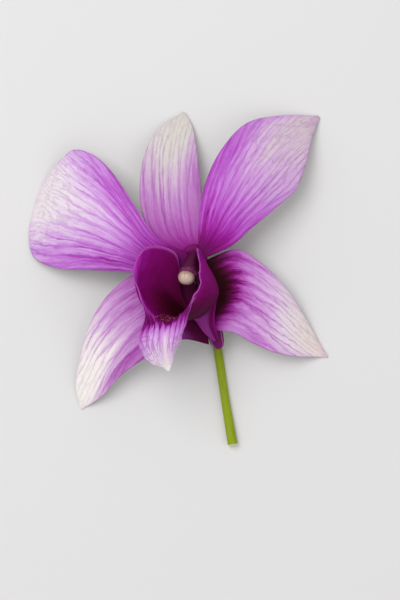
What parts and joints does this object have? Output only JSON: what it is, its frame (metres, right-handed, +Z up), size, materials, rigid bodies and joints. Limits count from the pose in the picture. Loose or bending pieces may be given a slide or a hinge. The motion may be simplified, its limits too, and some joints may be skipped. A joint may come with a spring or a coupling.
{
  "type": "orchid flower",
  "caption": "Picked dendrobium orchid flower lying face up, with pointed sepals, broad petals, a cupped lip around the column, an anther cap and a curved stalk.",
  "frame": {"origin": "centre of the flower's bounding box on the plane of the surface it lies on", "axes": "+Y from the cut end of the stalk towards the tip of the upper (dorsal) sepal, +Z up, out of the flower's face"},
  "size_m": [0.0726, 0.081, 0.0245],
  "materials": {
    "stalk": "smooth",
    "mentum": "smooth",
    "sepal": "matt",
    "petal": "matt",
    "lip": "velvety",
    "column": "smooth",
    "anther_cap": "waxy",
    "pollinia": "waxy"
  },
  "bodies": {
    "root": {"pedicel_with_ovary": "stalk", "mentum": "mentum", "dorsal_sepal": "sepal", "left_lateral_sepal": "sepal", "right_lateral_sepal": "sepal", "left_petal": "petal", "right_petal": "petal", "labellum": "lip", "column": "column", "anther_cap": "anther_cap", "pollinium_1": "pollinia", "pollinium_2": "pollinia", "pollinium_3": "pollinia", "pollinium_4": "pollinia"}
  },
  "joints": []
}
